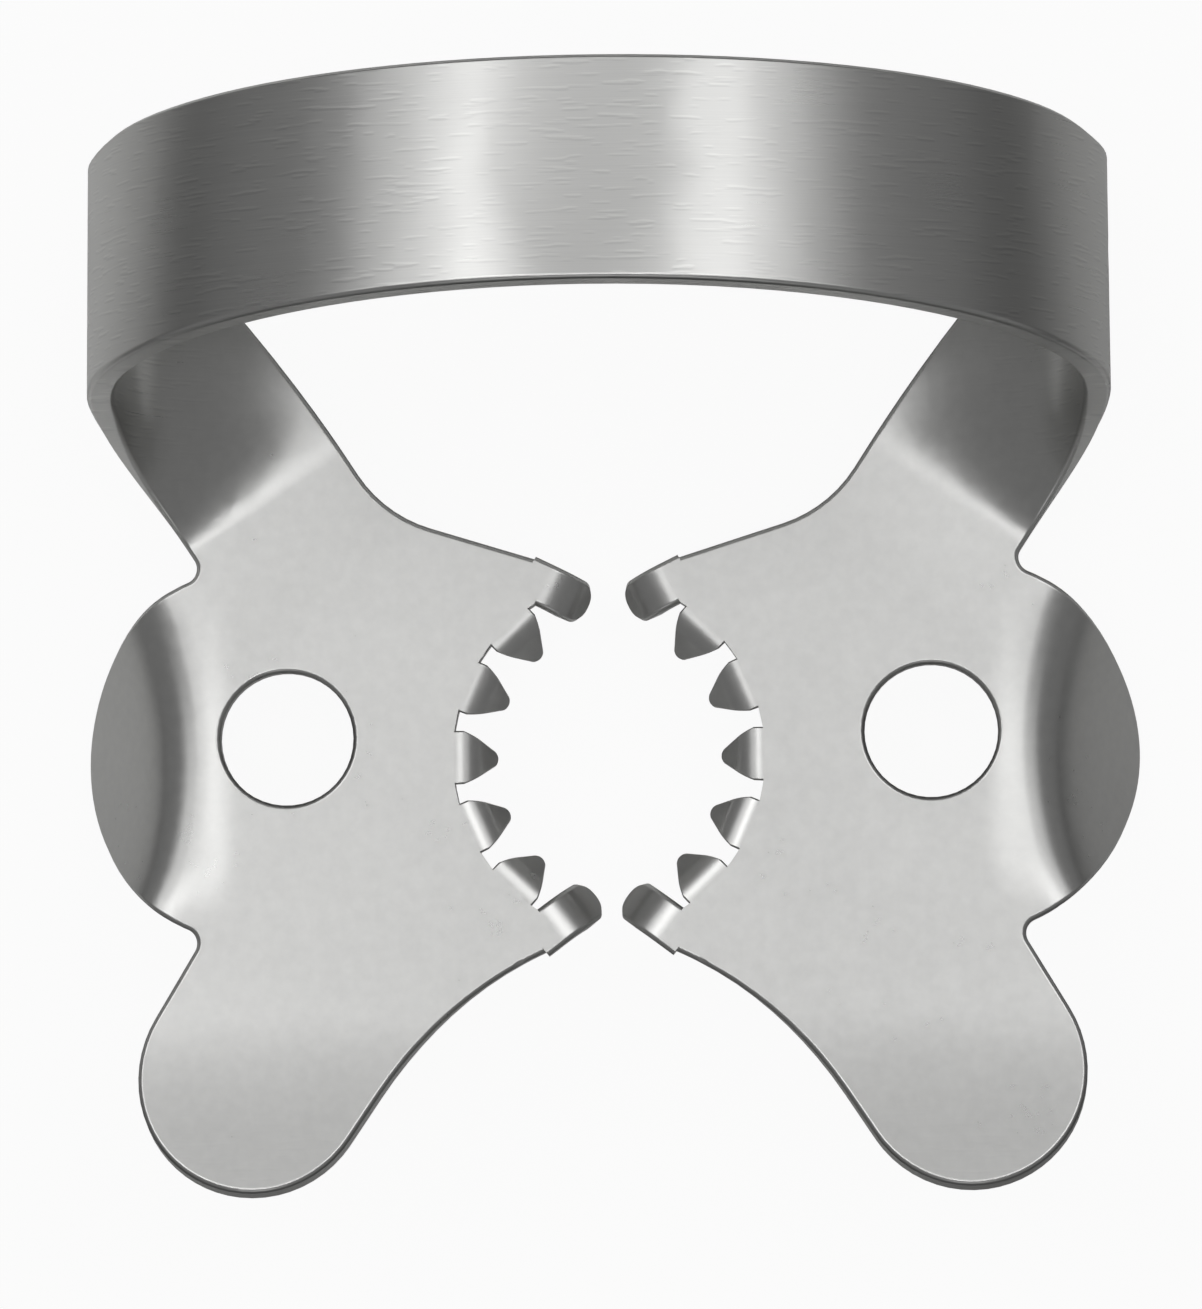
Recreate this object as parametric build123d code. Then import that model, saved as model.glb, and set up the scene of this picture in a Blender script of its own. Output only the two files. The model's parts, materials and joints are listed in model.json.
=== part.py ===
"""A winged rubber dam clamp with serrated jaws, pressed from one piece of spring steel sheet.

The two jaws lie side by side, level with each other, and a sprung bow joins them behind and above.
It is drawn with x from jaw to jaw, y from the front wings to the bow, and z up out of the jaws.
The middle of the jaw sheet is at z = 0 and the middle of the bite is at x = y = 0.
The finished clamp is then laid down as it comes to rest on a table, tipped back onto its arms.
"""

from build123d import *
from math import cos, radians, sin, sqrt
import os

# The sheet
sheet_thickness = 0.70
edge_bevel = 0.13

# The bite: an arc of teeth in each jaw, with a prong at each end
bite_radius = 4.79
bite_overlap = 0.69
bite_half_angle = 57.0
tooth_count = 5
tooth_pitch_angle = 23.2
tooth_width = 1.40
tooth_length = 1.50
tooth_bend_angle = 52.0
tooth_bend_radius = 0.55
tooth_tip_radius = 0.22
tooth_edge_bevel = 0.05
prong_width = 1.15
prong_tip_radius = 0.54
prong_bend_angle = 60.0
prong_bend_radius = 0.90
upper_prong_length = 1.42
upper_prong_turn = 26.0
lower_prong_length = 1.78
lower_prong_turn = 37.0
tab_overlap = 0.50

# The hole that the forceps takes hold of, behind a web of steel at the bite
forceps_hole_radius = 1.75
forceps_hole_web = 2.61
forceps_hole_forward = 0.55

# The side wing, which the rubber sheet is stretched over, with the angle where its fold ends
wing_radius = 4.97
wing_forward = 0.13
wing_fold_land = 0.05
wing_fold_radius = 12.0
wing_fold_end_angle = 64.5
wing_fold_sweep = 70.0
wing_knee = 1.45
wing_bend_angle = 60.0
notch_radius = 0.40

# The front wing
front_wing_radius = 3.03
front_notch_angle = 71.8
front_wing_outer_taper = 31.0
front_wing_outer_run = 2.52
front_wing_inner_taper = 56.3
front_wing_inner_run = 1.40
front_wing_fold_land = 0.465
front_wing_knee = 2.20
front_wing_bend_angle = 15.0

# The arm that rises from each jaw to the bow, with its knees measured from its root
arm_lean = 33.0
arm_width = 4.84
arm_notch_angle = 72.7
arm_outer_land = 0.66
arm_outer_run = 1.60
arm_outer_knee = (1.88, 2.54, 1.90)
arm_outer_drop = 1.70
arm_inner_land = 1.94
arm_inner_run = 2.00
arm_inner_knee = (3.56, 5.00, 1.50)
arm_inner_drop = 2.20
arm_steps = (0, 0.08, 0.25, 0.42, 0.6, 0.78, 0.9)
jaw_back_radius = 3.50

# The bow
bow_inset = 0.93
bow_rise = 9.60
bow_lean = 9.60
bow_width = 5.78
bow_step_angle = 12
heel_width = 6.26
heel_forward = 11.88
heel_height = 4.50

# How closely the clamp is laid down, and how far two points or edges may be apart to count as one
tip_accuracy = 0.01
close_by = 0.01
sharp_edge_angle = 37.0

half = sheet_thickness / 2
wide = 6 * bow_rise
tall = 2 * bow_rise
down = Vector(0, 0, -1)
right = Vector(1, 0, 0)
forward = Vector(0, -1, 0)


def turned(angle):
    """The level direction at an angle in degrees from the x axis."""
    return Vector(cos(radians(angle)), sin(radians(angle)), 0)


def blunted(face, corner, radius):
    """A flat face with the corner nearest to a point rounded off."""
    vertex = sorted(face.vertices(), key=lambda v: (v.center() - corner).length)[0]
    return face.fillet_2d(radius, [vertex])


def bent_line(start, way, knee, angle, length):
    """A line in the sheet's upper skin that runs level and then curves down by an angle."""
    away = way * cos(radians(angle)) + down * sin(radians(angle))
    bend = start + way * knee
    before = start + way * (knee / 2)
    after = bend + away * (knee / 2)
    return Bezier(start, before, bend, after, bend + away * length).edge()


def sheet_below(skin):
    """The piece of sheet under a piece of its upper skin, with its rims square to the skin."""
    return Solid.thicken(skin, sheet_thickness, normal_override=down)


def bevelled(piece, joined):
    """The rims of a piece of sheet bevelled, except where it joins the next piece."""
    skins = piece.faces().sort_by(SortBy.AREA)[-2:]
    rims = [edge for skin in skins for edge in skin.edges() if not joined(edge @ 0.5)]
    return piece.chamfer(edge_bevel, None, rims)


# The corners of the right-hand jaw, as seen from above
bite_centre = Vector(-bite_overlap, 0, 0)
bite_middle = bite_centre + right * bite_radius
upper_prong_way = turned(180 + upper_prong_turn)
lower_prong_way = turned(180 - lower_prong_turn)
upper_prong_inner = bite_centre + turned(bite_half_angle) * bite_radius
lower_prong_inner = bite_centre + turned(-bite_half_angle) * bite_radius
upper_prong_outer = upper_prong_inner + turned(90 + upper_prong_turn) * prong_width
lower_prong_outer = lower_prong_inner + turned(270 - lower_prong_turn) * prong_width
upper_prong_root = (upper_prong_inner + upper_prong_outer) / 2
lower_prong_root = (lower_prong_inner + lower_prong_outer) / 2

# The hole stands off the bite, the fold of the side wing off the hole, and the wing off its fold
forceps_hole_reach = bite_middle.X + forceps_hole_web + forceps_hole_radius
wing_fold_reach = forceps_hole_reach + forceps_hole_radius + edge_bevel + wing_fold_land
fold_centre = Vector(wing_fold_reach + wing_fold_radius, wing_forward, 0)
fold_end = turned(wing_fold_end_angle) * wing_radius
wing_centre = fold_centre - right * (sqrt(wing_fold_radius**2 - fold_end.Y**2) + fold_end.X)
wing_reach = wing_centre.X + wing_radius
upper_notch = wing_centre + turned(arm_notch_angle) * wing_radius
arm_way = turned(90 - arm_lean)
arm_outer_root = upper_notch + arm_way * arm_outer_land
arm_inner_root = arm_outer_root + turned(180 - arm_lean) * arm_width
arm_root = (arm_outer_root + arm_inner_root) / 2
back_corner = arm_inner_root - arm_way * arm_inner_land

# The front wing hangs from its notch with the side wing
lower_notch = wing_centre + turned(-front_notch_angle) * wing_radius
front_outer_touch = lower_notch + turned(front_wing_outer_taper - 90) * front_wing_outer_run
front_centre = front_outer_touch - turned(front_wing_outer_taper) * front_wing_radius
front_inner_touch = front_centre + turned(270 - front_wing_inner_taper) * front_wing_radius
front_inner_way = turned(180 - front_wing_inner_taper)
front_inner_end = front_inner_touch + front_inner_way * front_wing_inner_run
front_fold_forward = min(lower_prong_outer.Y - front_wing_fold_land, lower_notch.Y - 2 * notch_radius)

# The jaw's outline, with both notches and the inside of the arm rounded
outline = Face(Wire([
    Line(arm_outer_root, upper_notch),
    ThreePointArc(upper_notch, wing_centre + right * wing_radius, lower_notch),
    Line(lower_notch, front_outer_touch),
    ThreePointArc(front_outer_touch, front_centre + forward * front_wing_radius, front_inner_touch),
    Line(front_inner_touch, front_inner_end),
    TangentArc(front_inner_end, lower_prong_outer, tangent=front_inner_way),
    Line(lower_prong_outer, lower_prong_inner),
    ThreePointArc(lower_prong_inner, bite_middle, upper_prong_inner),
    Line(upper_prong_inner, upper_prong_outer),
    Line(upper_prong_outer, back_corner),
    Line(back_corner, arm_inner_root),
    Line(arm_inner_root, arm_outer_root),
]))
outline = blunted(outline, upper_notch, notch_radius)
outline = blunted(outline, lower_notch, notch_radius)
outline = blunted(outline, back_corner, jaw_back_radius)
column = Solid.extrude(outline.moved(Pos(0, 0, -tall / 2)), Vector(0, 0, tall))

# The fold of the side wing is curved, and the fold of the front wing is straight
fold_middle = (upper_notch.Y + lower_notch.Y) / 2
fold_span = upper_notch.Y - lower_notch.Y + 2 * notch_radius
fold_column = Pos(fold_centre) * Cylinder(wing_fold_radius, tall)
fold_column = fold_column & Pos(0, fold_middle, 0) * Box(wide, fold_span, tall)
front_column = Pos(0, front_fold_forward - tall / 2, 0) * Box(wide, tall, tall)


def on_wing_fold(point):
    return abs((Vector(point.X, point.Y) - fold_centre).length - wing_fold_radius) < close_by


def on_front_fold(point):
    return abs(point.Y - front_fold_forward) < close_by


def on_flat_join(point):
    roots = (arm_root, bite_middle, upper_prong_root, lower_prong_root)
    nearest = min((Vector(point.X, point.Y) - root).length for root in roots)
    return nearest < close_by or on_wing_fold(point) or on_front_fold(point)


def on_hole(edge):
    return abs(edge.radius - forceps_hole_radius) < close_by


# The flat of the jaw, with the forceps hole
flat = column & Box(wide, wide, sheet_thickness)
flat = flat - fold_column - front_column
flat = bevelled(flat.solid(), on_flat_join)
flat = flat - Pos(forceps_hole_reach, forceps_hole_forward, 0) * Cylinder(forceps_hole_radius, tall)
hole_rims = flat.edges().filter_by(GeomType.CIRCLE).filter_by(on_hole)
flat = flat.solid().chamfer(edge_bevel, None, hole_rims)

# The side wing curves down from its fold
fold_axis = Axis(fold_centre, (0, 0, 1))
wing_start = Vector(wing_fold_reach, wing_forward, half)
wing_line = bent_line(wing_start, right, wing_knee, wing_bend_angle, wing_radius)
wing_skin = Face.revolve(wing_line, wing_fold_sweep, fold_axis).rotate(fold_axis, -wing_fold_sweep / 2)
wing = sheet_below((wing_skin & (column & fold_column)).faces()[0])
wing = bevelled(wing, on_wing_fold)

# The front wing curves up a little from its fold
front_start = Vector(0, front_fold_forward, half)
front_line = bent_line(front_start, forward, front_wing_knee, -front_wing_bend_angle, 2 * front_wing_radius)
front_skin = Face.extrude(front_line, right * (front_centre.X + 2 * front_wing_radius))
front = sheet_below((front_skin & column).faces()[0])
front = bevelled(front, on_front_fold)


# The teeth and the prongs are tabs of the same sheet, bent down out of the bite
def tab(root, way, width, length, angle, radius, tip_width, tip_radius, bevel):
    """A tab bent down along its root, with its outline cut square to the part that points down."""
    bend = radians(angle)
    spare = 3 * width
    level = Plane(origin=root, x_dir=way, z_dir=down.cross(way))

    def skins_at(turn):
        """Where the tab's two skins are, part of the way round its bend."""
        outward = Vector(sin(turn), cos(turn))
        return [Vector(0, -radius) + outward * (radius + side) for side in (half, -half)]

    outer_mid, inner_mid = skins_at(bend / 2)
    outer_end, inner_end = skins_at(bend)
    straight = Vector(cos(bend), -sin(bend)) * (length - radius * bend)
    side = Wire([
        Line((-tab_overlap, half), (0, half)),
        ThreePointArc((0, half), outer_mid, outer_end),
        Line(outer_end, outer_end + straight),
        Line(outer_end + straight, inner_end + straight),
        Line(inner_end + straight, inner_end),
        ThreePointArc(inner_end, inner_mid, (0, -half)),
        Line((0, -half), (-tab_overlap, -half)),
        Line((-tab_overlap, -half), (-tab_overlap, half)),
    ])
    strip = Solid.extrude(Face(level * side), level.z_dir * width * 2).translate(level.z_dir * -width)
    along = way * cos(bend) + down * sin(bend)
    out = way * sin(bend) - down * cos(bend)
    bent = Plane(origin=level.from_local_coords(outer_end) - along * (radius * bend), x_dir=along, z_dir=out)
    tips = [(length, -tip_width / 2), (length, tip_width / 2)] if tip_width else [(length, 0)]
    corners = [(0, width / 2), (-spare, width / 2), (-spare, -width / 2), (0, -width / 2)] + tips
    shape = Face(Wire.make_polygon([Vector(*corner) for corner in corners], close=True))
    for tip in tips:
        shape = blunted(shape, Vector(*tip), tip_radius)
    cutter = Solid.extrude(bent * shape, out * 2 * spare).translate(out * -spare)
    piece = (strip & cutter).solid()
    rims = []
    for edge in piece.edges():
        first, second = [face.normal_at(edge @ 0.5) for face in piece.faces() if edge in face.edges()]
        sharp = first.dot(second) < cos(radians(sharp_edge_angle))
        if sharp and (edge @ 0.5 - root).dot(way) > close_by - tab_overlap:
            rims.append(edge)
    return piece.chamfer(bevel, None, rims)


tabs = [
    tab(upper_prong_root, upper_prong_way, prong_width, upper_prong_length, prong_bend_angle,
        prong_bend_radius, prong_width, prong_tip_radius, edge_bevel),
    tab(lower_prong_root, lower_prong_way, prong_width, lower_prong_length, prong_bend_angle,
        prong_bend_radius, prong_width, prong_tip_radius, edge_bevel),
]
tooth_root_radius = sqrt(bite_radius**2 - (tooth_width / 2) ** 2)
for place in range(tooth_count):
    angle = (place - (tooth_count - 1) / 2) * tooth_pitch_angle
    tabs.append(tab(bite_centre + turned(angle) * tooth_root_radius, turned(angle) * -1, tooth_width,
                    tooth_length, tooth_bend_angle, tooth_bend_radius, 0, tooth_tip_radius, tooth_edge_bevel))

jaw = flat + wing + front
for piece in tabs:
    jaw = jaw + piece

# The arms and the bow are one band, laid through cross-sections from the right jaw to the left one
bow_up = Vector(0, sin(radians(bow_lean)), cos(radians(bow_lean)))
bow_across = Vector(0, cos(radians(bow_lean)), -sin(radians(bow_lean)))
heel = Vector(wing_reach - bow_inset - half, heel_forward, heel_height)
heel_outer = heel - bow_across * (heel_width / 2)
heel_inner = heel + bow_across * (heel_width / 2)
outer_leaving = arm_outer_root + arm_way * arm_outer_run
inner_leaving = arm_inner_root + arm_way * arm_inner_run
outer_rising = heel_outer - bow_up * arm_outer_drop
inner_rising = heel_inner - bow_up * arm_inner_drop
outer_edge = Bezier(arm_outer_root, outer_leaving, arm_outer_root + arm_outer_knee, outer_rising, heel_outer)
inner_edge = Bezier(arm_inner_root, inner_leaving, arm_inner_root + arm_inner_knee, inner_rising, heel_inner)


def cross_section(outer, inner, way):
    """The sheet cut across between its two edges, square to the way the band runs there."""
    side = (inner - outer).normalized()
    cut = Plane(origin=(outer + inner) / 2, x_dir=side, z_dir=side.cross(side.cross(way)))
    slab = Face.make_rect((inner - outer).length, sheet_thickness)
    return cut * slab.chamfer_2d(edge_bevel, edge_bevel, slab.vertices()).outer_wire()


arm_sections = []
other_arm_sections = []
for step in arm_steps:
    outer = outer_edge @ step
    inner = inner_edge @ step
    way = outer_edge % step + inner_edge % step
    arm_sections.append(cross_section(outer, inner, way))
    across = [Vector(-v.X, v.Y, v.Z) for v in (outer, inner, way)]
    other_arm_sections.insert(0, cross_section(across[0], across[1], across[2] * -1))

bow_sections = []
for angle in range(0, 181, bow_step_angle):
    around = cos(radians(angle))
    over = sin(radians(angle))
    middle = Vector(heel.X * around, heel.Y, heel.Z) + bow_up * (bow_rise * over)
    side = bow_across * ((bow_width + (heel_width - bow_width) * around**2) / 2)
    way = right * (-heel.X * over) + bow_up * (bow_rise * around)
    bow_sections.append(cross_section(middle - side, middle + side, way))

band = Solid.make_loft(arm_sections + bow_sections + other_arm_sections)
clamp = jaw + band + jaw.mirror(Plane.YZ)

# Laid down at rest: tipped back until the arms touch the table together with the side wings
least, most = 0.0, 45.0
while most - least > tip_accuracy:
    tip = (least + most) / 2
    lowest_arm = band.rotate(Axis.X, -tip).bounding_box().min.Z
    lowest_wing = wing.rotate(Axis.X, -tip).bounding_box().min.Z
    if lowest_arm > lowest_wing:
        least = tip
    else:
        most = tip
clamp = clamp.rotate(Axis.X, -tip)
box = clamp.bounding_box()
clamp = clamp.translate(Vector(0, -box.center().Y, -box.min.Z)).solid()

os.makedirs("parts", exist_ok=True)
export_step(clamp, "parts/clamp.step")
print(f"clamp: {len(clamp.faces())} faces, {clamp.volume:.1f} mm3, valid {clamp.is_valid}")
print(f"tipped {tip:.2f} degrees, forceps holes at {forceps_hole_reach:.3f} from the middle")
print(f"moved by {-box.center().Y:.3f} in y and {-box.min.Z:.3f} in z")
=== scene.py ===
# %% [markdown]
# # A rubber dam clamp in satin spring steel
#
# The object is a small dental clamp, about 28 mm wide, pressed from one strip of spring steel.
# It has one solid and no joint, so everything in this lesson is finish, light and camera.
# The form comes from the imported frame, and is never moved or resized here.
# The looks come from four things: rounded-looking edges, a fine satin surface, flat lamps that
# draw bright bands down the bow, and a white table that fills the lowest reflections.

# %% The frame
import json
import math

import bmesh
import bpy
from mathutils import Matrix, Vector


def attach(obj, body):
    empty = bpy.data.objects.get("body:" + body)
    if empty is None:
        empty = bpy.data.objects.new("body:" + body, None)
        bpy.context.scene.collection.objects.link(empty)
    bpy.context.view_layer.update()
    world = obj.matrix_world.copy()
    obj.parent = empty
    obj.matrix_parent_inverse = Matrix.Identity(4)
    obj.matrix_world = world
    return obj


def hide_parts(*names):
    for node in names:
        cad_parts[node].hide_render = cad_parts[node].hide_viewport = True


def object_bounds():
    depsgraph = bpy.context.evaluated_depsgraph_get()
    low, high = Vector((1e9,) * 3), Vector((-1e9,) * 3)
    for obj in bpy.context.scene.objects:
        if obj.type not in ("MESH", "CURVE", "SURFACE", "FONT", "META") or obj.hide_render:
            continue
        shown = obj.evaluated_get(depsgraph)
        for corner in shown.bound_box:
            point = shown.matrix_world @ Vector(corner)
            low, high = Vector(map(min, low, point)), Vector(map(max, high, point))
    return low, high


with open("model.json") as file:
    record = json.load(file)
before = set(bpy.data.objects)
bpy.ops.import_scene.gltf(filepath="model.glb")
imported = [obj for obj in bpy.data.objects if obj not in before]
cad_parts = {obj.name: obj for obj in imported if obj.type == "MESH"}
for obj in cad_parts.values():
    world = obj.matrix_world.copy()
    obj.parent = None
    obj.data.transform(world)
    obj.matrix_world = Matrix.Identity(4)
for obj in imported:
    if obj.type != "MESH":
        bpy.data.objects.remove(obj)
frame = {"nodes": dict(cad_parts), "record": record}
cad_low, cad_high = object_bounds()
clamp_node = frame["nodes"]["clamp"]
MM = 0.001
print("nodes:", sorted(frame["nodes"]))
print("clamp size in mm:", [round(side / MM, 2) for side in cad_high - cad_low])

# %% [markdown]
# The jaws don't lie level: at rest the clamp leans back on its arms. The forceps holes are
# square to the jaw sheet, so the axis that the record gives for one of them is also the
# direction that the jaws face. From it come the directions that the finish follows.

# %% The way the jaws face
hole = frame["record"]["mounts"][1]
jaw_up = Vector(hole["axis"]).normalized()
jaw_back = Vector((0, jaw_up.z, -jaw_up.y))
jaw_tilt = math.atan2(jaw_up.y, jaw_up.z)
hole_centre = Vector(hole["pos_m"])
print("jaw tilt in degrees:", round(math.degrees(jaw_tilt), 2))

# %% [markdown]
# The camera comes first. It looks almost straight down, leaning a little to the back of the
# clamp, from 195 mm away with a long lens, which is how such a catalogue picture is
# taken. Its angle was found by matching the outline, and its aim is a point near the middle
# of the clamp's box.

# %% The camera
LEAN_BACK = math.radians(17.2)
LEAN_RIGHT = math.radians(2.15)
ROLL = math.radians(-0.80)
CAMERA_DISTANCE = 195 * MM
PICTURE_HEIGHT = 33.64 * MM
AIM_DOWN = 1.22 * MM
SENSOR = 36.0

toward_camera = Vector((
    math.sin(LEAN_RIGHT),
    math.sin(LEAN_BACK) * math.cos(LEAN_RIGHT),
    math.cos(LEAN_BACK) * math.cos(LEAN_RIGHT),
))
level_up = Vector((0, math.cos(LEAN_BACK), -math.sin(LEAN_BACK)))
picture_right = level_up.cross(toward_camera).normalized()
picture_up = toward_camera.cross(picture_right)
picture_up = Matrix.Rotation(ROLL, 3, toward_camera) @ picture_up
picture_right = picture_up.cross(toward_camera)
aim = (cad_low + cad_high) / 2 - picture_up * AIM_DOWN

camera = bpy.data.objects.new("camera", bpy.data.cameras.new("camera"))
bpy.context.scene.collection.objects.link(camera)
camera.data.sensor_width = SENSOR
camera.data.lens = SENSOR * CAMERA_DISTANCE / PICTURE_HEIGHT
camera.data.clip_start = 10 * MM
camera.data.clip_end = 10
turn = Matrix((picture_right, picture_up, toward_camera)).transposed()
camera.matrix_world = Matrix.Translation(aim + toward_camera * CAMERA_DISTANCE) @ turn.to_4x4()
bpy.context.scene.camera = camera
print("lens in mm:", round(camera.data.lens, 1))

# %% [markdown]
# A metal edge that has been tumbled catches the light as a soft line. The solid has a narrow
# flat bevel along each edge, and the trick is in the shading. First the loose triangles are
# merged into one skin. Then each vertex takes its normal only from the widest smooth surface
# that it lies on: the plates stay flat up to their rims, and the whole turn happens across the
# bevel, as if it were rounded. It costs no extra faces.

# %% One skin for the clamp
MERGE_DISTANCE = 0.0005 * MM
CREASE = math.radians(30)


def merged_copy(node, name):
    """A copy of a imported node's mesh with its loose triangles joined and shaded smooth."""
    skin = bmesh.new()
    skin.from_mesh(node.data)
    bmesh.ops.remove_doubles(skin, verts=skin.verts, dist=MERGE_DISTANCE)
    bmesh.ops.recalc_face_normals(skin, faces=skin.faces)
    for face in skin.faces:
        face.smooth = True
    mesh = bpy.data.meshes.new(name)
    skin.to_mesh(mesh)
    skin.free()
    piece = bpy.data.objects.new(name, mesh)
    bpy.context.scene.collection.objects.link(piece)
    return piece


clamp = merged_copy(clamp_node, "clamp_steel")
print("vertices:", len(clamp.data.vertices), "triangles:", len(clamp.data.polygons))


# %% [markdown]
# A flood fill sorts the faces into smooth surfaces: two faces belong together where the angle
# between them is under the crease angle. The widest surface at a vertex then sets its normal.

# %% Rounded rims by their normals
def smooth_surfaces(skin):
    """The number of the smooth surface that each face belongs to, and the area of each surface."""
    surface_of = {}
    areas = []
    for first in skin.faces:
        if first in surface_of:
            continue
        surface_of[first] = len(areas)
        waiting = [first]
        area = 0.0
        while waiting:
            face = waiting.pop()
            area += face.calc_area()
            for edge in face.edges:
                if edge.is_manifold and edge.calc_face_angle() < CREASE:
                    for other in edge.link_faces:
                        if other not in surface_of:
                            surface_of[other] = len(areas)
                            waiting.append(other)
        areas.append(area)
    return surface_of, areas


def round_the_rims(mesh):
    """Give each vertex the normal of the widest smooth surface that it lies on."""
    skin = bmesh.new()
    skin.from_mesh(mesh)
    surface_of, areas = smooth_surfaces(skin)
    normals = []
    for vertex in skin.verts:
        widest = max((surface_of[face] for face in vertex.link_faces), key=areas.__getitem__)
        corners = [loop for loop in vertex.link_loops if surface_of[loop.face] == widest]
        normal = sum((loop.face.normal * loop.calc_angle() for loop in corners), Vector())
        normals.append(normal.normalized())
    skin.free()
    mesh.normals_split_custom_set_from_vertices(normals)
    return len(areas)


print("smooth surfaces:", round_the_rims(clamp.data))
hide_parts("clamp")
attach(clamp, "root")

# %% [markdown]
# Colours are written as the hex values that a paint program shows. Blender's shaders want
# linear light, so one function turns the one into the other. One more small function adds a
# node, with its settings and its links, and every material below is made with it.

# %% Two helpers
def linear(hex_colour):
    """An sRGB hex colour as linear red, green, blue and alpha."""
    parts = [int(hex_colour[place:place + 2], 16) / 255 for place in (1, 3, 5)]
    return [c / 12.92 if c <= 0.04045 else ((c + 0.055) / 1.055) ** 2.4 for c in parts] + [1.0]


def add(tree, kind, settings=None, **inputs):
    """A node with its settings, and its inputs set to values or linked to sockets."""
    node = tree.nodes.new(kind)
    for name, value in (settings or {}).items():
        setattr(node, name, value)
    for name, value in inputs.items():
        socket = node.inputs[int(name[1:])] if name[1:].isdigit() else node.inputs[name.replace("_", " ")]
        if isinstance(value, bpy.types.NodeSocket):
            tree.links.new(value, socket)
        else:
            socket.default_value = value
    return node


print("mid grey:", [round(part, 3) for part in linear("#808080")])

# %% [markdown]
# Stainless spring steel, belt-brushed before it was pressed. The strip was brushed along its
# length, which on the bow runs from side to side, so short fine scratches lie that way. Each is
# painted into the colour as a light lip and a dark one, a painted highlight and painted shade, made
# by taking one noise from another that is shifted a little; the same marks also tilt the normals a
# little. The jaws were tumbled afterwards and are a plain satin, with only a faint grain. A mask
# fades from one to the other with the height above the jaws.
#
# A pressed sheet starts to bend softly, but the solid stays flat right up to the fold of a side
# wing and to the root of an arm. So the material leans the normals by a few degrees, from about
# 1 mm before the fold and 4 mm before the root, and on over the bends. That changes the light on
# the steel, but not its shape.

# %% Spring steel
SCRATCH_WIDTH = 0.08 * MM
SCRATCH_LENGTH = 1.0 * MM
SCRATCH_LIP = 0.06 * MM
SCRATCH_CUT = (0.60, 0.68)
SCRATCH_LEAN = 0.008
SCRATCH_PAINTED_LIGHT = 0.4
BRUSH_WIDTH = 0.035 * MM
BRUSH_LENGTH = 5.0 * MM
GRAIN_SIZE = 0.30 * MM
GRAIN_LEAN = 0.012
CLOUD_SIZE = 2.8 * MM
SATIN_ROUGHNESS = 0.24
CLOUD_ROUGHNESS = 0.05
RELIEF_ROUGHNESS = 0.05
RELIEF_SHADE = 0.5
DARKER_STEEL = "#C3C3C2"
LIGHTER_STEEL = "#DADAD8"
BRUSHED_FROM = 0.5 * MM
BRUSHED_BY = 3.0 * MM
ROLL_FROM = 9.6 * MM
ROLL_TO = 10.8 * MM
ROLL_SPAN = (3.0 * MM, 5.0 * MM)
ROLL_LEAN = 0.12
ROOT_FROM = 6.8 * MM
ROOT_TO = 10.4 * MM
ROOT_SPAN = (7.5 * MM, 9.5 * MM)
ROOT_LEAN = 0.06


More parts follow.
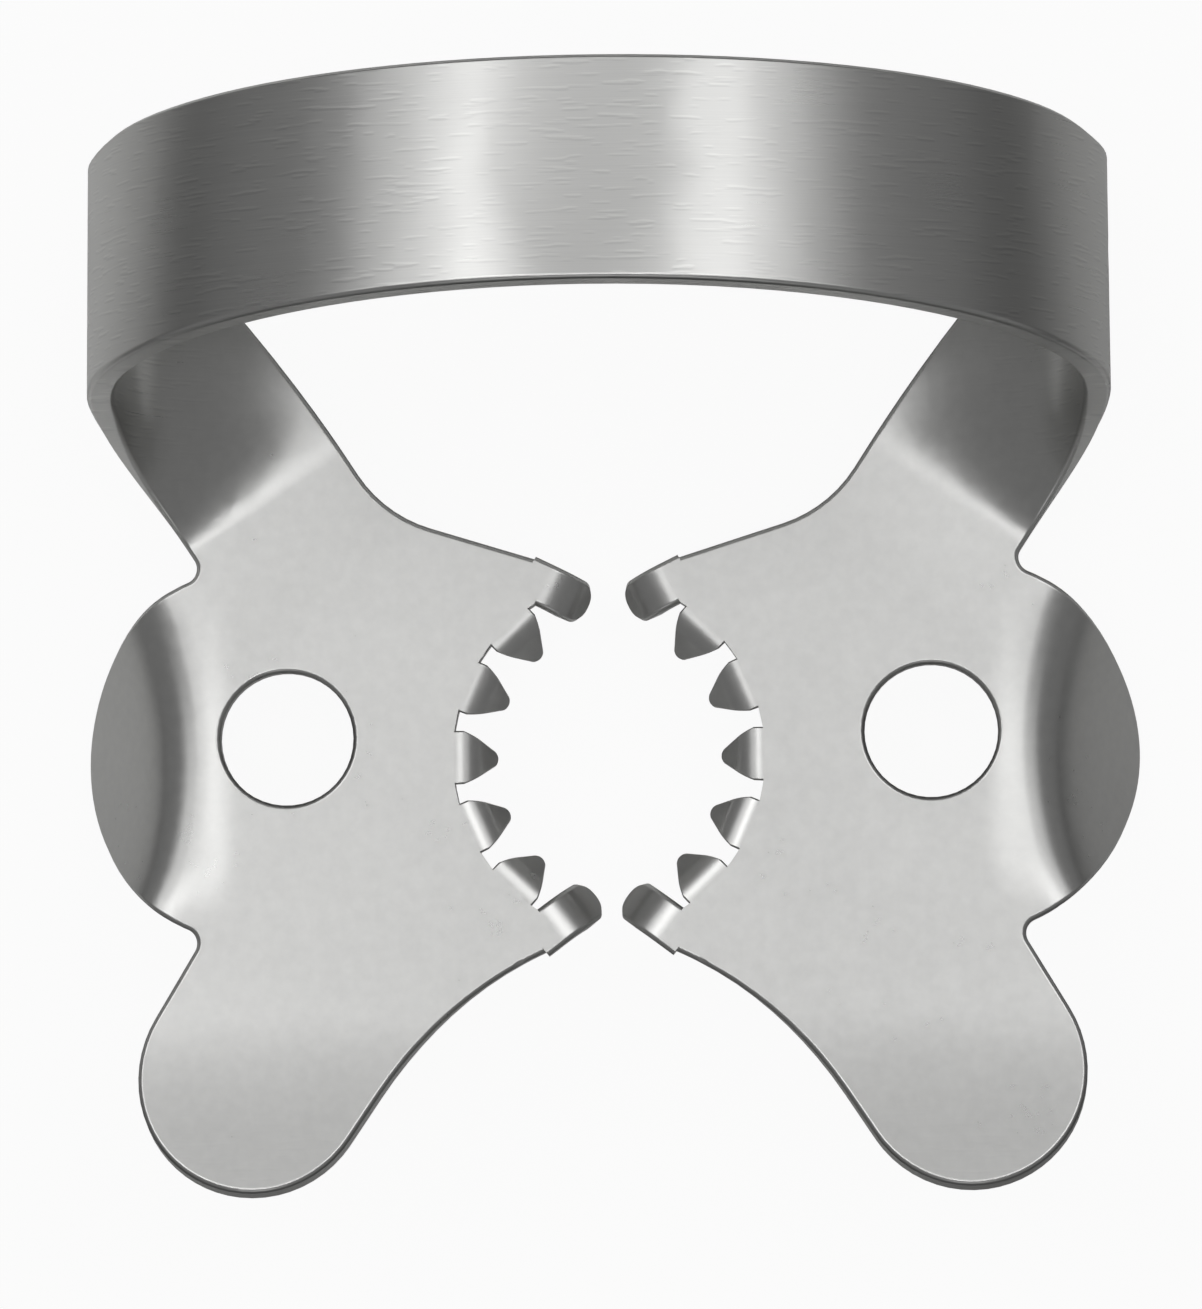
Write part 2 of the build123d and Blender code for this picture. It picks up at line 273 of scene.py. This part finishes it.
def spring_steel():
    """Satin stainless spring steel, with the bow's scratches running along the strip."""
    material = bpy.data.materials.new("satin_spring_steel")
    material.use_nodes = True
    tree = material.node_tree
    tree.nodes.clear()

    def math_node(operation, *values):
        return add(tree, "ShaderNodeMath", {"operation": operation},
                   **{f"_{place}": value for place, value in enumerate(values)}).outputs[0]

    def ramp(value, low, high, at_low=0.0, at_high=1.0):
        return add(tree, "ShaderNodeMapRange", {"interpolation_type": "SMOOTHSTEP"}, Value=value,
                   From_Min=low, From_Max=high, To_Min=at_low, To_Max=at_high).outputs[0]

    def noise(place, along, across, detail, shift=0.0):
        scaled = add(tree, "ShaderNodeMapping", None, Vector=place, Location=(0, shift / across, 0),
                     Scale=(1 / along, 1 / across, 1 / along)).outputs[0]
        return add(tree, "ShaderNodeTexNoise", None, Vector=scaled, Scale=1.0, Detail=detail).outputs

    # Where a point is, in directions that follow the jaws
    place = add(tree, "ShaderNodeTexCoord").outputs["Object"]
    laid = add(tree, "ShaderNodeMapping", {"vector_type": "TEXTURE"}, Vector=place,
               Rotation=(-jaw_tilt, 0, 0)).outputs[0]
    split = add(tree, "ShaderNodeSeparateXYZ", None, Vector=laid)
    sideways = split.outputs["X"]
    back = math_node("SUBTRACT", split.outputs["Y"], jaw_back.dot(hole_centre))
    up = math_node("SUBTRACT", split.outputs["Z"], jaw_up.dot(hole_centre))
    brushed = ramp(up, BRUSHED_FROM, BRUSHED_BY)

    # The scratches, each painted as a light lip and a dark one (a painted highlight and painted shade),
    # and the fine lines between them
    cut = [ramp(noise(laid, SCRATCH_LENGTH, SCRATCH_WIDTH, 1.0, shift)[0], *SCRATCH_CUT)
           for shift in (0.0, SCRATCH_LIP)]
    scratch_bump_and_painted_lips = math_node("MULTIPLY", math_node("SUBTRACT", *cut), brushed)
    lines = noise(laid, BRUSH_LENGTH, BRUSH_WIDTH, 2.0)[0]
    grain = noise(laid, GRAIN_SIZE, GRAIN_SIZE, 2.0)
    clouds = noise(laid, CLOUD_SIZE, CLOUD_SIZE, 2.0)[0]
    relief = add(tree, "ShaderNodeMix", {"data_type": "FLOAT"}, _0=brushed, _2=grain[0],
                 _3=lines).outputs[0]

    # How rough the steel is, and its colour: random tone plus the scratches' painted highlight and shade
    worn = math_node("MULTIPLY_ADD", clouds, CLOUD_ROUGHNESS, SATIN_ROUGHNESS)
    rough = math_node("MULTIPLY_ADD", relief, RELIEF_ROUGHNESS, worn)
    even = math_node("MULTIPLY_ADD", relief, RELIEF_SHADE, (1 - RELIEF_SHADE) / 2)
    # the scratches' painted highlight and painted shade go into the steel's colour here
    tone_and_painted_lips = math_node("MULTIPLY_ADD", scratch_bump_and_painted_lips, SCRATCH_PAINTED_LIGHT, even)
    tint = add(tree, "ShaderNodeMix", {"data_type": "RGBA"}, _0=tone_and_painted_lips, _6=linear(DARKER_STEEL),
               _7=linear(LIGHTER_STEEL)).outputs[2]

    # The soft start of the bends, at the side of a jaw and at the root of an arm
    out = math_node("ABSOLUTE", sideways)
    side = math_node("SIGN", sideways)
    beside = ramp(math_node("ABSOLUTE", back), *ROLL_SPAN, 1.0, 0.0)
    roll = math_node("MULTIPLY", ramp(out, ROLL_FROM, ROLL_TO), beside)
    diagonal = math_node("MULTIPLY", math_node("ADD", out, back), math.sqrt(0.5))
    before_bow = ramp(back, *ROOT_SPAN, 1.0, 0.0)
    root = math_node("MULTIPLY", ramp(diagonal, ROOT_FROM, ROOT_TO), before_bow)
    outward = math_node("MULTIPLY_ADD", root, -ROOT_LEAN, math_node("MULTIPLY", roll, ROLL_LEAN))

    # Which way the surface faces, with the bends, the scratches and the grain
    nudge = math_node("MULTIPLY", scratch_bump_and_painted_lips, SCRATCH_LEAN)
    lean = math_node("MULTIPLY_ADD", outward, side, nudge)
    forward = math_node("MULTIPLY", root, -ROOT_LEAN)
    leaning = add(tree, "ShaderNodeCombineXYZ", None, X=lean, Y=forward).outputs[0]
    plain = math_node("MULTIPLY_ADD", brushed, -GRAIN_LEAN, GRAIN_LEAN)
    centred = add(tree, "ShaderNodeVectorMath", {"operation": "SUBTRACT"}, _0=grain[1],
                  _1=(0.5, 0.5, 0.5)).outputs[0]
    grained = add(tree, "ShaderNodeVectorMath", {"operation": "SCALE"}, _0=centred,
                  Scale=plain).outputs[0]
    faces = add(tree, "ShaderNodeNewGeometry").outputs["Normal"]
    for part in (leaning, grained):
        faces = add(tree, "ShaderNodeVectorMath", {"operation": "ADD"}, _0=faces, _1=part).outputs[0]
    normal = add(tree, "ShaderNodeVectorMath", {"operation": "NORMALIZE"}, _0=faces).outputs[0]

    metal = add(tree, "ShaderNodeBsdfPrincipled", None, Base_Color=tint, Metallic=1.0, Roughness=rough,
                Normal=normal)
    add(tree, "ShaderNodeOutputMaterial", None, Surface=metal.outputs[0])
    return material


clamp.data.materials.clear()
clamp.data.materials.append(spring_steel())
print("material:", clamp.data.materials[0].name)

# %% [markdown]
# The table is plain white card. What the camera sees of it is lifted towards pure white, while
# a part of the true card stays in the mix, so that the clamp keeps its soft shadow. The steel
# doesn't mirror that white. What it mirrors of the card is the lit card close by, and farther out
# a painted dark reflection, a dim glow put in place of the evenly lit card: that painted shade
# keeps the shoulders of the bow dark and its lowest parts light.

# %% The white table
POOL_CENTRE = (-6 * MM, 8 * MM, 0)
LIT_TO = 12 * MM
DARK_FROM = 44 * MM
DARK_SHARE = 0.9
DARK_STRENGTH = 0.06
WHITE_SHARE = 0.94


def white_card():
    """White card, nearly pure white to the camera; in the steel it fades to a painted dark reflection."""
    material = bpy.data.materials.new("white_card")
    material.use_nodes = True
    tree = material.node_tree
    tree.nodes.clear()
    card = add(tree, "ShaderNodeBsdfDiffuse", None, Color=linear("#F4F4F3")).outputs[0]
    lit = add(tree, "ShaderNodeEmission", None, Color=(1, 1, 1, 1), Strength=1.0).outputs[0]
    # a dim glow that the steel mirrors in place of the lit card farther out: a painted dark reflection
    dark = add(tree, "ShaderNodeEmission", None, Color=(1, 1, 1, 1), Strength=DARK_STRENGTH).outputs[0]
    path = add(tree, "ShaderNodeLightPath")
    place = add(tree, "ShaderNodeTexCoord").outputs["Object"]
    away = add(tree, "ShaderNodeVectorMath", {"operation": "DISTANCE"}, _0=place,
               _1=POOL_CENTRE).outputs["Value"]
    far = add(tree, "ShaderNodeMapRange", None, Value=away, From_Min=LIT_TO, From_Max=DARK_FROM,
              To_Max=DARK_SHARE).outputs[0]
    faded = add(tree, "ShaderNodeMath", {"operation": "MULTIPLY"}, _0=path.outputs["Is Glossy Ray"],
                _1=far).outputs[0]
    lit_card_then_painted_dark = add(tree, "ShaderNodeMixShader", None, _0=faded, _1=card, _2=dark).outputs[0]
    seen = add(tree, "ShaderNodeMath", {"operation": "MULTIPLY"}, _0=path.outputs["Is Camera Ray"],
               _1=WHITE_SHARE).outputs[0]
    mixed = add(tree, "ShaderNodeMixShader", None, _0=seen, _1=lit_card_then_painted_dark, _2=lit).outputs[0]
    add(tree, "ShaderNodeOutputMaterial", None, Surface=mixed)
    return material


TABLE_SIZE = 3.0
sheet = bmesh.new()
bmesh.ops.create_grid(sheet, x_segments=1, y_segments=1, size=TABLE_SIZE / 2)
table_mesh = bpy.data.meshes.new("table")
sheet.to_mesh(table_mesh)
sheet.free()
table = bpy.data.objects.new("table", table_mesh)
bpy.context.scene.collection.objects.link(table)
table.data.materials.append(white_card())
print("table at z =", table.location.z)

# %% [markdown]
# Steel shows its surroundings more than itself, so the lamps are placed by what each face
# mirrors. A place overhead is written as a slope: how far sideways and back a ray travels while
# it rises by 1 m. The jaws mirror slopes near (0, 0.5), the crown of the bow (0, 1.0) and the
# front wings up to (0, 1.3), and two mild panels cover them. A short bright bar lights the roots
# of the arms. On either side a brighter strip draws the bright band down the shoulder of the bow
# and along the fold of the wing, and a weaker one beside it lets the band fade. Beyond them the
# room is dim, so the steep faces go dark. The front panel is there for views from behind.
#
# Lamps that overlap hang in layers, so that no two of them lie in one plane.

# %% Lamps
CEILING = 1.0
LAYER = 0.02


def strip(name, near, far, width, brightness, layer):
    """A flat lamp from one slope to another, hung some layers below the ceiling."""
    near = Vector(near)
    far = Vector(far)
    height = CEILING - layer * LAYER
    lamp = bpy.data.lights.new(name, "AREA")
    lamp.shape = "RECTANGLE"
    lamp.size = width * height
    lamp.size_y = (far - near).length * height
    lamp.energy = brightness * math.pi * lamp.size * lamp.size_y
    holder = bpy.data.objects.new(name, lamp)
    bpy.context.scene.collection.objects.link(holder)
    middle = (near + far) / 2 * height
    holder.location = (middle.x, middle.y, height)
    holder.rotation_euler = (0, 0, math.atan2(near.x - far.x, far.y - near.y))
    holder.visible_camera = False
    return holder


lamps = [
    strip("near_panel", (-0.02, 0.25), (-0.02, 0.86), 0.60, 0.42, 0),
    strip("far_panel", (-0.02, 0.88), (-0.02, 2.60), 0.60, 0.45, 0),
    strip("front_bar", (-0.02, 0.06), (-0.02, 0.24), 0.46, 2.9, 1),
    strip("front_panel", (-0.02, -2.40), (-0.02, -0.70), 0.80, 0.40, 1),
    strip("left_strip", (-0.30, 0.45), (-0.70, 1.55), 0.28, 2.45, 2),
    strip("right_strip", (0.27, 0.45), (0.74, 1.55), 0.38, 1.9, 3),
    strip("left_falloff", (-0.72, 0.45), (-1.25, 1.55), 0.50, 0.95, 4),
    strip("right_falloff", (0.72, 0.45), (1.24, 1.55), 0.48, 0.75, 5),
]
print("lamps:", [lamp.name for lamp in lamps])

# %% [markdown]
# The camera sees a white room. Every other ray, those that the steel sends out too, sees a dim
# one, so that the lamps and the card decide where the steel is bright.

# %% The room
ROOM_STRENGTH = 0.19

world = bpy.data.worlds.new("room")
bpy.context.scene.world = world
world.use_nodes = True
room = world.node_tree
room.nodes.clear()
ray = add(room, "ShaderNodeLightPath").outputs["Is Camera Ray"]
dim = add(room, "ShaderNodeBackground", None, Color=(1, 1, 1, 1), Strength=ROOM_STRENGTH).outputs[0]
white = add(room, "ShaderNodeBackground", None, Color=(1, 1, 1, 1), Strength=1.0).outputs[0]
seen = add(room, "ShaderNodeMixShader", None, _0=ray, _1=dim, _2=white).outputs[0]
add(room, "ShaderNodeOutputWorld", None, Surface=seen)
bpy.context.scene.view_settings.view_transform = "Standard"
print("room ready")
